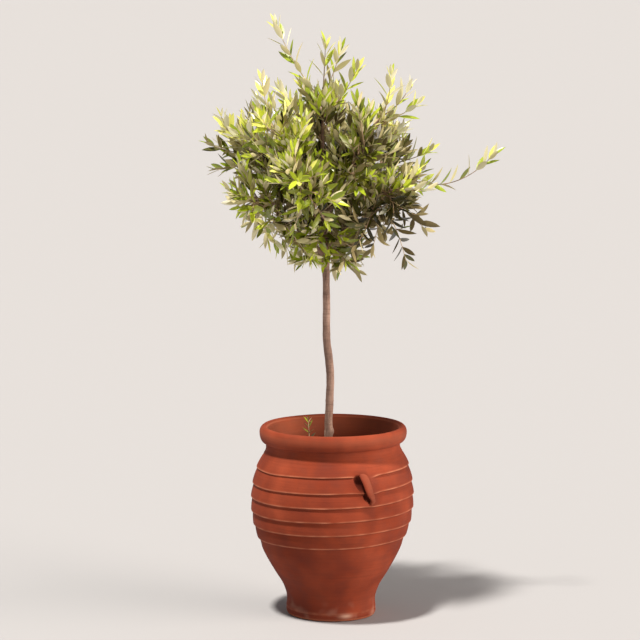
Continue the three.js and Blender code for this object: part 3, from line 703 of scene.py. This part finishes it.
def pot_profile():
    """Rows up the outside and down the inside: height, radius, wear with painted light on the inside wall,
    and whether of the body.
    """
    rows = [(0, 0.0, 0, False), (0, FOOT_RADIUS * 0.6, 0, False), (0, FOOT_RADIUS, 0, False)]
    rows += [(1.2, FOOT_RADIUS + 4, 0.3, False), (4, FOOT_RADIUS + 5.5, 0.5, False)]
    heights = [8, 12, 15, 17, 19, 22, 26] + list(np.arange(31, 196, 5.0))
    for lip, next_lip in zip(RIB_LIPS, RIB_LIPS[1:] + [SHOULDER]):
        heights += [lip + step for step in (-6, -3, -2, -1, 0, 1, 2.4)]
        heights += list(np.arange(lip + 5, next_lip - 8, 3.0))
    heights += list(np.arange(SHOULDER - 6, 480, 3.0))
    for height in heights:
        wear_and_painted_light = WEAR_AND_PAINTED_LIGHT.rib * max(hump(height, lip + 0.6, 1.5) for lip in RIB_LIPS)
        wear_and_painted_light = max(wear_and_painted_light, WEAR_AND_PAINTED_LIGHT.foot * hump(height, FOOT_LINE + 3, 3))
        groove = FOOT_GROOVE.depth * hump(height, FOOT_LINE, FOOT_GROOVE.width)
        rows.append((height, body_radius(height) - groove, wear_and_painted_light, True))
    for turn in np.linspace(-0.42, 1, 26) * pi:
        wear_and_painted_light = WEAR_AND_PAINTED_LIGHT.roll * hump(turn, 0, 0.5) + WEAR_AND_PAINTED_LIGHT.inner_edge * hump(turn, INNER_EDGE, 0.2)
        # Painted light: the inside past the rim's inner edge is paler
        wear_and_painted_light = max(wear_and_painted_light, WEAR_AND_PAINTED_LIGHT.inside * smooth_share(turn, INNER_EDGE, INNER_EDGE + 0.5))
        height = ROLL.centre + (ROLL.rise if turn > 0 else ROLL.fall) * sin(turn)
        rows.append((height, ROLL.radius + ROLL.reach * cos(turn), wear_and_painted_light, False))
    for height in np.arange(482, 426, -5.0):
        # Painted light on the inside wall: paler clay
        rows.append((height, body_radius(min(height, 478)) - WALL + 1, WEAR_AND_PAINTED_LIGHT.inside, False))
    return rows


def pot_angles():
    """Angles round the pot, closer together over the two lugs."""
    angles = []
    for centre in LUG_ANGLES:
        start, end = centre - FINE_ANGLE, centre + FINE_ANGLE
        angles += list(np.linspace(start, end, FINE_STEPS, endpoint=False))
        angles += list(np.linspace(end, start + pi, COARSE_STEPS, endpoint=False))
    return angles


def angle_gap(theta, centre):
    return (theta - centre + pi) % FULL_TURN - pi


def lug_relief(theta, height):
    """The share of the ribs left, the offset outwards and the hollow at a point round the lugs, where the
    hollow also sets the painted shade.
    """
    left, offset, hollowed = 1.0, 0.0, 0.0
    for centre in LUG_ANGLES:
        side = angle_gap(theta, centre) * LUG_WALL
        if abs(side) > LUG_REACH:
            continue
        sideways, upwards = side / CLEARED.half_width, (height - CLEARED.height) / CLEARED.half_height
        left *= 1 - exp(-((sideways**2 + upwards**2) ** 2))
        for lobe_side, middle, half_width, half_height, depth, slant in FINGER_LOBES:
            sideways = (side - lobe_side + slant * (height - middle)) / half_width
            upwards = (height - middle) / half_height
            hollow = max(0.0, 1 - (sideways**2 + upwards**2) ** 2.5)
            # How deep a point lies in a hollow, which also darkens it as painted shade
            hollowed = max(hollowed, hollow)
            offset -= depth * hollow
        for swell_side, middle, half_width, half_height, out in LUG_SWELLS:
            offset += out * hump(side, swell_side, half_width) * hump(height, middle, half_height)
        above = height - BANK.height
        beside = side - BANK.side + BANK.slant * above
        width = BANK.left if beside < 0 else BANK.right
        offset += BANK.out * hump(beside, 0, width) * exp(-((above / BANK.half_height) ** 4))
    return left, offset, hollowed


def clay(kind, theta, height):
    """One kind of unevenness at a point of the pot."""
    scale, upwards, size, shift, lift = CLAY[kind]
    where = (cos(theta) * scale + shift, sin(theta) * scale, height * upwards + lift)
    return size * noise.noise(Vector(where))


def pot_wall():
    """Points and faces of the thrown wall, and the wear with painted light inside, the painted shade and the
    bloom of its points.
    """
    rows, angles = pot_profile(), pot_angles()
    points, looks = [], []
    for height, radius, wear_and_painted_light, ribbed in rows:
        for theta in angles:
            sway, wander = clay("sway", theta, height), clay("wander", theta, height)
            r, z, worn_and_painted_light, painted_shade = radius, height, wear_and_painted_light, 0.0
            if ribbed:
                left, offset, hollowed = lug_relief(theta, height)
                r += rib_offset(height) * left + offset + sway * 0.6
                z += wander * min(1, height / 120) + slant_rise(theta, r, height) * left
                worn_and_painted_light *= left * (0.75 + clay("chip", theta, height))
                # Painted shade: darker clay in the lug hollows and towards the foot
                painted_shade = max(hollowed, LOW_SHADE.depth * max(0.0, 1 - height / LOW_SHADE.top))
            elif height > 470:
                r += sway * 0.8
                z += wander * 0.5 + slant_rise(theta, r, height)
            beside = angle_gap(theta, SMUDGE.angle) * FOOT_WALL
            smudge = hump(beside, 0, SMUDGE.half_width) * hump(height, SMUDGE.height, SMUDGE.half_height)
            crust = max(0.0, clay("crust", theta, height) - CRUST.least) * max(0.0, 1 - height / CRUST.top)
            points.append((r * cos(theta), r * sin(theta), z))
            looks.append((worn_and_painted_light, painted_shade, SMUDGE.depth * smudge + CRUST.depth * crust))
    return np.array(points), ring_quads(len(rows), len(angles)), looks


def pot_strap(sign):
    """Points, faces and looks of a lug's strap, on the -Y side for a sign of 1."""
    steps, sides = STRAP.steps, STRAP.sides
    points, looks = [], []
    for step in range(steps + 1):
        share = mix(-STRAP.overrun, 1 + STRAP.overrun, step / steps)
        height = mix(LUG.bottom, LUG.top, share)
        arch = sin(pi * min(max(share, 0), 1)) ** 0.6
        out = body_radius(height) + LUG.bulge * arch - LUG.thickness + STRAP.lift
        out -= STRAP.sink * (1 - arch)
        lean = max(-1, min(1, pi * (0.5 - share))) * STRAP.lean
        left_edge = np.interp(share, STRAP_EDGES.share, STRAP_EDGES.left)
        right_edge = mix(*STRAP_EDGES.right, share)
        for side in range(sides):
            turn = side / sides * FULL_TURN
            squared = copysign(abs(cos(turn)) ** 0.8, cos(turn))
            over = (squared + 1) / 2
            thick = sin(turn) * LUG.thickness / 2
            wobble = noise.noise(Vector((squared, height * 0.05, sign * 3)))
            fall = STRAP.fall * arch * over**1.7
            x = mix(left_edge, right_edge, over)
            y = -(out - fall + (thick + wobble) * cos(lean))
            points.append((sign * x, sign * y, height - thick * sin(lean)))
            looks.append((WEAR_AND_PAINTED_LIGHT.strap * max(sin(turn), 0) ** 3, 0.0, 0.0))
    return np.array(points), ring_quads(steps + 1, sides), looks


def make_pot(material):
    parts = [pot_wall(), pot_strap(1), pot_strap(-1)]
    points, faces = join_parts([part[:2] for part in parts])
    pot = make_object("pot_thrown", points, faces, [material])
    looks = np.vstack([part[2] for part in parts]).astype(np.float32)
    for column, name in enumerate(("wear_and_painted_light", "painted_shade", "bloom")):
        values = pot.data.attributes.new(name, "FLOAT", "POINT")
        values.data.foreach_set("value", looks[:, column].copy())
    return pot


# Soil

def soil_height(share):
    """The soil's height at a share of the way from its middle to the wall."""
    return SOIL.top - (SOIL.top - SOIL.edge - 2) * share**2


def crumb(centre, size, roll):
    """A small uneven clod."""
    axes = np.vstack([np.eye(3), -np.eye(3)])
    spread = np.array([[mix(0.6, 1.25, roll()) for _ in range(3)] for _ in range(6)])
    points = centre + axes * spread * np.array([1, 1, 0.7]) * size
    faces = [(0, 1, 2), (1, 3, 2), (3, 4, 2), (4, 0, 2), (1, 0, 5), (3, 1, 5), (4, 3, 5), (0, 4, 5)]
    return points, faces


def make_soil(material):
    """A crumbly surface that rises a little to the trunk, with crumbs lying on it."""
    rings, segments = 70, 150
    rim = body_radius(SOIL.edge) - WALL + 1.2
    points = [(0.0, 0.0, SOIL.top + 1.0)]
    for ring in range(1, rings + 1):
        radius = rim * ring / rings
        for segment in range(segments):
            theta = segment / segments * FULL_TURN
            x, y = radius * cos(theta), radius * sin(theta)
            lumps = noise.fractal(Vector((x * 0.045, y * 0.045, 3.0)), 0.9, 2.2, 5)
            points.append((x, y, soil_height(radius / rim) + 2.6 * lumps + 0.8))
    faces = [(0, 1 + segment, 1 + (segment + 1) % segments) for segment in range(segments)]
    faces += [(a + 1, d + 1, c + 1, b + 1) for a, b, c, d in ring_quads(rings, segments)]
    parts = [(np.array(points), faces)]
    roll = dice(CRUMBS.seed)
    for _ in range(CRUMBS.count):
        radius, theta = rim * CRUMBS.reach * sqrt(roll()), roll() * FULL_TURN
        size = mix(*CRUMBS.size, roll() ** 2)
        height = soil_height(radius / rim) + CRUMBS.lift
        parts.append(crumb(np.array([radius * cos(theta), radius * sin(theta), height]), size, roll))
    return make_object("soil_surface", *join_parts(parts), [material])


# Wood

def smooth_row(points, radii, spacing):
    """A finer row of points and radii through knots, on a smooth curve."""
    run = lengths(points)
    where = np.linspace(0, run[-1], max(int(run[-1] / spacing), 2) + 1)
    values = np.column_stack([points, radii])
    fine = smooth_through(run, values, np.gradient(values, run, axis=0), where)
    return fine[:, :3], fine[:, 3]


def bark(points, radii, collar, style, seed, ring_seed):
    """A limb with a collar at its foot and the relief of its bark: long ridges and small lumps."""
    points, radii = smooth_row(points, radii, style.spacing)
    run = lengths(points)
    radii = radii * (1 + collar * hump(run, COLLAR.at, COLLAR.width))
    radii = node_rings(run, radii, style, ring_seed)
    vertices, faces = tube(points, radii, style.sides)
    centres = np.repeat(points, style.sides, axis=0)
    reach = vertices - centres
    distance = np.linalg.norm(reach, axis=1)
    along = np.repeat(run, style.sides)
    turn = np.tile(np.arange(style.sides) / style.sides * FULL_TURN, len(points))
    relief = []
    for a, d, r in zip(along, turn, distance):
        c, s = cos(d), sin(d)
        ridges = noise.fractal(Vector((c * 2.6, s * 2.6, a * 0.03 + seed)), 0.8, 2.1, 4)
        lumps = noise.noise(Vector((c * 1.1, s * 1.1, a * 0.045 + seed * 3)))
        relief.append((ridges * 0.55 + lumps * 0.6) * style.depth * min(r / 9, 1.3))
    vertices = centres + reach * (1 + np.array(relief) / np.maximum(distance, 0.1))[:, None]
    return vertices, faces


def node_rings(run, radii, style, seed):
    """Radii with small swellings at uneven distances, where leaves once grew."""
    roll = dice(seed)
    at = style.ring_gap * roll()
    while at < run[-1]:
        radii = radii + radii * style.ring_share * mix(0.4, 1, roll()) * hump(run, at, RING_WIDTH)
        at += style.ring_gap * mix(0.6, 1.4, roll())
    return radii


def make_wood(material, masses):
    """Trunk, boughs and the stems of the masses, as one mesh with the bark's relief."""
    parts = [bark(TRUNK_POINTS, TRUNK_RADII, 0, TRUNK_BARK, 1, 5)]
    for number, mass in enumerate(masses):
        run = lengths(mass.row)
        split = lengths(mass.limb)[-1]
        radii = np.where(
            run < split,
            mix(*mass.radius, run / max(split, 1)),
            mix(*STEM_RADIUS, (run - split) / (run[-1] - split)),
        )
        parts.append(bark(mass.row, radii, mass.collar, BOUGH_BARK, 10 + number, 50 + number))
    return make_object("bark_wood", *join_parts(parts), [material])


def make_twigs(name, materials, twigs):
    parts, slots = [], []
    for number, (points, radius) in enumerate(twigs):
        radii = mix(*radius, np.linspace(0, 1, len(points)))
        radii = radii * (1 + TWIG_COLLAR.share * hump(lengths(points), 0, TWIG_COLLAR.width))
        parts.append(tube(points, radii, TWIG_SIDES))
        slots += [number % len(materials)] * len(parts[-1][1])
    return make_object(name, *join_parts(parts), materials, slots)


def make_sucker(wood_material, tones):
    """The young shoot beside the trunk: a thin stem with small leaves."""
    foot, top = place(*SUCKER.foot), place(*SUCKER.top)
    points = bezier(foot, (foot + top) / 2 + np.array(SUCKER.bend), top, SUCKER.steps)
    radii = np.linspace(*SUCKER.radius, len(points))
    stem = make_object("sucker_stem", *tube(points, radii, SUCKER.sides), [wood_material])
    leaves = []
    roll = dice(SUCKER.seed)
    for pair, back in enumerate(SUCKER.nodes):
        root, ahead = walk(points, lengths(points)[-1] - back)
        for half in (0, pi):
            turn = pair * pi / 2 + half + FRONT_TURN * SUCKER.turn
            direction = leaning(ahead, turn, SUCKER.angle + SUCKER.opening * pair, 0)
            face, _ = across(direction, ahead)
            size = mix(*SUCKER.leaf, min(1, pair / 2)) * mix(*SUCKER.size, roll())
            width, tone = size * SUCKER.width, mix(*SUCKER.tone, roll())
            leaves.append((root, direction, face, size, width, SUCKER.arch, tone))
    return stem, make_leaves("sucker_leaves", leaves, tones)


# Materials

def plain_material(name, colour, roughness, specular=0.5):
    """A material of one colour, set on the shader's own sockets."""
    material = bpy.data.materials.new(name)
    material.use_nodes = True
    inputs = material.node_tree.nodes["Principled BSDF"].inputs
    inputs["Base Color"].default_value = (*colour, 1)
    inputs["Roughness"].default_value = roughness
    inputs["Specular IOR Level"].default_value = specular
    return material


class Nodes:
    """Short ways to add and link nodes of one material."""

    def __init__(self, *plain):
        self.material = plain_material(*plain)
        self.tree = self.material.node_tree
        self.inputs = self.tree.nodes["Principled BSDF"].inputs
        self.coordinates = self.add("ShaderNodeTexCoord")

    def add(self, kind, **values):
        node = self.tree.nodes.new(kind)
        for key, value in values.items():
            if key in node.inputs:
                node.inputs[key].default_value = value
            else:
                setattr(node, key, value)
        return node

    def link(self, source, target):
        self.tree.links.new(source, target)

    def noise(self, scale, detail, stretch=(1, 1, 1), roughness=0.55):
        mapping = self.add("ShaderNodeMapping", Scale=stretch)
        self.link(self.coordinates.outputs["Object"], mapping.inputs["Vector"])
        node = self.add("ShaderNodeTexNoise", Scale=scale, Detail=detail, Roughness=roughness)
        self.link(mapping.outputs["Vector"], node.inputs["Vector"])
        return node.outputs["Fac"]

    def attribute(self, name):
        return self.add("ShaderNodeAttribute", attribute_name=name).outputs["Fac"]

    def ramp(self, source, stops):
        node = self.add("ShaderNodeValToRGB")
        elements = node.color_ramp.elements
        while len(elements) < len(stops):
            elements.new(0.5)
        for element, (position, colour) in zip(elements, stops):
            element.position = position
            element.color = (*colour, 1)
        self.link(source, node.inputs["Fac"])
        return node.outputs["Color"]

    def blend(self, share, first, second, kind="MIX"):
        """A mix of two colours; each value is a number, a colour or another node's output."""
        node = self.add("ShaderNodeMix", data_type="RGBA", blend_type=kind)
        for index, value in ((0, share), (6, first), (7, second)):
            if isinstance(value, (int, float)):
                node.inputs[index].default_value = value
            elif isinstance(value, tuple):
                node.inputs[index].default_value = (*value, 1)
            else:
                self.link(value, node.inputs[index])
        return node.outputs[2]

    def finished(self, colour, layers):
        """The material with this colour and with bump from layers of height, distance and strength."""
        self.link(colour, self.inputs["Base Color"])
        last = None
        for height, distance, strength in layers:
            node = self.add("ShaderNodeBump", Distance=distance, Strength=strength)
            self.link(height, node.inputs["Height"])
            if last is not None:
                self.link(last, node.inputs["Normal"])
            last = node.outputs["Normal"]
        self.link(last, self.inputs["Normal"])
        return self.material


def srgb(*colour):
    """A colour given as it shows on a screen, 0 to 255."""
    shares = [value / 255 for value in colour]
    return tuple(v / 12.92 if v <= 0.04045 else ((v + 0.055) / 1.055) ** 2.4 for v in shares)


def terracotta():
    # The clay's tones are darker than its own colour, partly painted shade, as for a pot standing in shade
    nodes = Nodes("terracotta_thrown", srgb(128, 51, 26), 0.84, 0.25)
    cloud = nodes.noise(26, 4)
    lines = nodes.noise(9, 5, (0.5, 0.5, 26), 0.7)
    tones = [(0.3, srgb(110, 40, 21)), (0.5, srgb(128, 51, 27)), (0.72, srgb(147, 64, 38))]
    base = nodes.ramp(nodes.noise(7, 2), tones)
    clouds = nodes.ramp(cloud, [(0.35, (0.84, 0.82, 0.8)), (0.7, (1.12, 1.12, 1.12))])
    base = nodes.blend(0.8, base, clouds, "MULTIPLY")
    streaks = nodes.ramp(lines, [(0.3, (0.82, 0.8, 0.78)), (0.5, (1, 1, 1)), (0.75, (1.12, 1.14, 1.16))])
    base = nodes.blend(0.6, base, streaks, "MULTIPLY")
    # Wear on lips, foot, rim and strap, and painted light on the inside wall, as a paler clay
    base = nodes.blend(nodes.attribute("wear_and_painted_light"), base, srgb(192, 120, 90))
    # Painted shade: darker clay in the lug hollows and towards the foot
    shaded = nodes.blend(0.85, base, (0.42, 0.33, 0.3), "MULTIPLY")
    base = nodes.blend(nodes.attribute("painted_shade"), base, shaded)
    base = nodes.blend(nodes.attribute("bloom"), base, srgb(196, 160, 140))
    rough = nodes.ramp(cloud, [(0.3, (0.74, 0.74, 0.74)), (0.7, (0.92, 0.92, 0.92))])
    nodes.link(rough, nodes.inputs["Roughness"])
    return nodes.finished(base, [(lines, 0.0012, 0.35), (nodes.noise(700, 2), 0.0004, 0.3)])


def potting_soil():
    nodes = Nodes("soil_crumbs", srgb(70, 50, 36), 0.95)
    patches = nodes.noise(60, 5)
    tones = [(0.3, srgb(44, 31, 23)), (0.55, srgb(74, 54, 40)), (0.75, srgb(104, 82, 62))]
    layers = [(patches, 0.003, 0.5), (nodes.noise(900, 3), 0.0008, 0.6)]
    return nodes.finished(nodes.ramp(patches, tones), layers)


def bark_material():
    nodes = Nodes("bark_olive", srgb(160, 146, 128), 0.88)
    ridges = nodes.noise(170, 5, (1, 1, 0.22), 0.65)
    spots = nodes.noise(420, 2, (1, 1, 1.6))
    tones = [(0.3, srgb(112, 87, 76)), (0.5, srgb(148, 118, 104)), (0.72, srgb(188, 157, 142))]
    base = nodes.ramp(nodes.noise(24, 4, (1, 1, 0.55)), tones)
    fine = nodes.ramp(ridges, [(0.32, (0.66, 0.63, 0.6)), (0.55, (1, 1, 1)), (0.8, (1.12, 1.12, 1.12))])
    base = nodes.blend(0.7, base, fine, "MULTIPLY")
    rings = nodes.noise(16, 4, (0.5, 0.5, 9), 0.7)
    bands = nodes.ramp(rings, [(0.36, (0.62, 0.58, 0.55)), (0.48, (1, 1, 1)), (0.75, (1.16, 1.16, 1.16))])
    base = nodes.blend(0.7, base, bands, "MULTIPLY")
    dots = nodes.ramp(spots, [(0.66, (0, 0, 0)), (0.74, (1, 1, 1))])
    base = nodes.blend(dots, base, srgb(192, 174, 158))
    return nodes.finished(base, [(ridges, 0.0016, 0.6), (spots, 0.0006, 0.5)])


# Upper side and underside of the leaves, darkest first, as they show on a screen
LEAF_TONES = [
    ((47, 44, 11), (110, 98, 64)),
    ((78, 78, 18), (149, 136, 94)),
    ((108, 117, 24), (187, 176, 130)),
    ((142, 158, 32), (220, 210, 165)),
    ((176, 190, 50), (239, 231, 192)),
    # The lightest upper tone is creamy: partly the young leaves' own colour, partly a painted highlight of
    # the waxy gloss
    ((215, 215, 114), (249, 244, 215)),
]
# Roughness and specular level of the waxy upper side and the felted underside
LEAF_SIDES = (("upper", 0.26, 0.7), ("under", 0.7, 0.25))
TWIG_TONES = [(140, 112, 86), (178, 150, 120), (204, 180, 150)]


def leaf_materials():
    """An upper and an under material for each tone, in pairs."""
    made = []
    for number, colours in enumerate(LEAF_TONES):
        for colour, (side, roughness, specular) in zip(colours, LEAF_SIDES):
            made.append(plain_material(f"leaf_{side}_{number + 1}", srgb(*colour), roughness, specular))
    return made


# Studio

def make_light(name, towards, energy, spread, colour):
    """Even light from one direction, with shadows as soft as its spread in degrees."""
    light = bpy.data.lights.new(name, "SUN")
    light.energy = energy
    light.angle = radians(spread)
    light.color = colour
    obj = add_object(name, light)
    obj.rotation_mode = "QUATERNION"
    obj.rotation_quaternion = Vector(place(*towards)).to_track_quat("Z", "Y")


def make_studio():
    far = 300000
    corners = [(-far, -far, -1), (far, -far, -1), (far, far, -1), (-far, far, -1)]
    pale = plain_material("floor_pale", srgb(160, 160, 164), 0.9)
    floor = make_object("floor", corners, [(0, 1, 2, 3)], [pale], smooth=False)
    world = bpy.data.worlds.new("studio")
    world.use_nodes = True
    background = world.node_tree.nodes["Background"]
    background.inputs["Color"].default_value = (*srgb(236, 232, 228), 1)
    background.inputs["Strength"].default_value = 0.38
    bpy.context.scene.world = world
    bpy.context.scene.view_settings.view_transform = "Standard"
    make_light("key", (-0.34, -0.45, 1.6), 5.3, 6, (1, 0.94, 0.84))
    make_light("fill", (1, -0.35, 0.25), 4.3, 50, (1, 0.88, 0.76))


def make_camera():
    camera = add_object("camera", bpy.data.cameras.new("camera"))
    camera.data.sensor_width = CAMERA.sensor
    camera.data.lens = CAMERA.focal_pixels / CAMERA.frame_pixels * CAMERA.sensor
    away = Vector((-sin(FRONT_TURN), -cos(FRONT_TURN), 0))
    camera.location = away * CAMERA.distance + Vector((0, 0, CAMERA.height))
    yaw = atan(CAMERA.axis_pixels / CAMERA.focal_pixels) - FRONT_TURN
    heading = Matrix.Rotation(yaw, 4, "Z")
    tilt = Matrix.Rotation(radians(90 - CAMERA.tilt), 4, "X")
    roll = Matrix.Rotation(radians(CAMERA.roll), 4, "Z")
    camera.rotation_mode = "QUATERNION"
    camera.rotation_quaternion = (heading @ tilt @ roll).to_quaternion()
    bpy.context.scene.camera = camera


# Put together

boughs = plan_boughs()
LIMBS += zip(TRUNK_POINTS, TRUNK_POINTS[1:], TRUNK_RADII)
for bough in boughs:
    LIMBS += zip(bough.limb, bough.limb[1:], np.linspace(*BOUGH_RADIUS, BOUGHS.steps + 1))

leader = Group(
    limb=TRUNK_POINTS[-2:], radius=LEADER_RADIUS, collar=0,
    site=crown_share(0, 90, SITE_DEPTH), end=crown_share(0, 90, STEM_END),
)
masses = [leader] + boughs
for mass in masses:
    before, last = mass.limb[-2:]
    mass.stem = plan_stem(last, unit(last - before), mass.end)
    mass.row = np.vstack([mass.limb, mass.stem[2:]])

all_curves = shoot_curves(masses, plan_tips()) + fill_curves(masses) + skirt_curves(masses)
mass_twigs, mass_leaves = grow(all_curves, len(masses))

tones = leaf_materials()
twig_skins = [plain_material(f"twig_bark_{n + 1}", srgb(*tone), 0.8) for n, tone in enumerate(TWIG_TONES)]
numbers = [str(index + 1) for index in range(len(boughs))]

sucker_stem, sucker_leaves = make_sucker(twig_skins[1], tones)
pieces = [
    (make_pot(terracotta()), "terracotta", ["pot"]),
    (make_soil(potting_soil()), "potting_soil", ["soil"]),
    (make_wood(bark_material(), masses), "bark", ["trunk"] + [f"bough_{number}" for number in numbers]),
    (sucker_stem, "foliage", ["sucker"]),
    (sucker_leaves, "foliage", ["sucker"]),
]
for name, twigs, leaves in zip(["top"] + numbers, mass_twigs, mass_leaves):
    pieces.append((make_twigs(f"twigs_{name}", twig_skins, twigs), "bark", [f"foliage_{name}"]))
    pieces.append((make_leaves(f"leaves_{name}", leaves, tones), "foliage", [f"foliage_{name}"]))

for piece, slot, nodes in pieces:
    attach(piece, "root")
    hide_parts(*nodes)

make_studio()
make_camera()
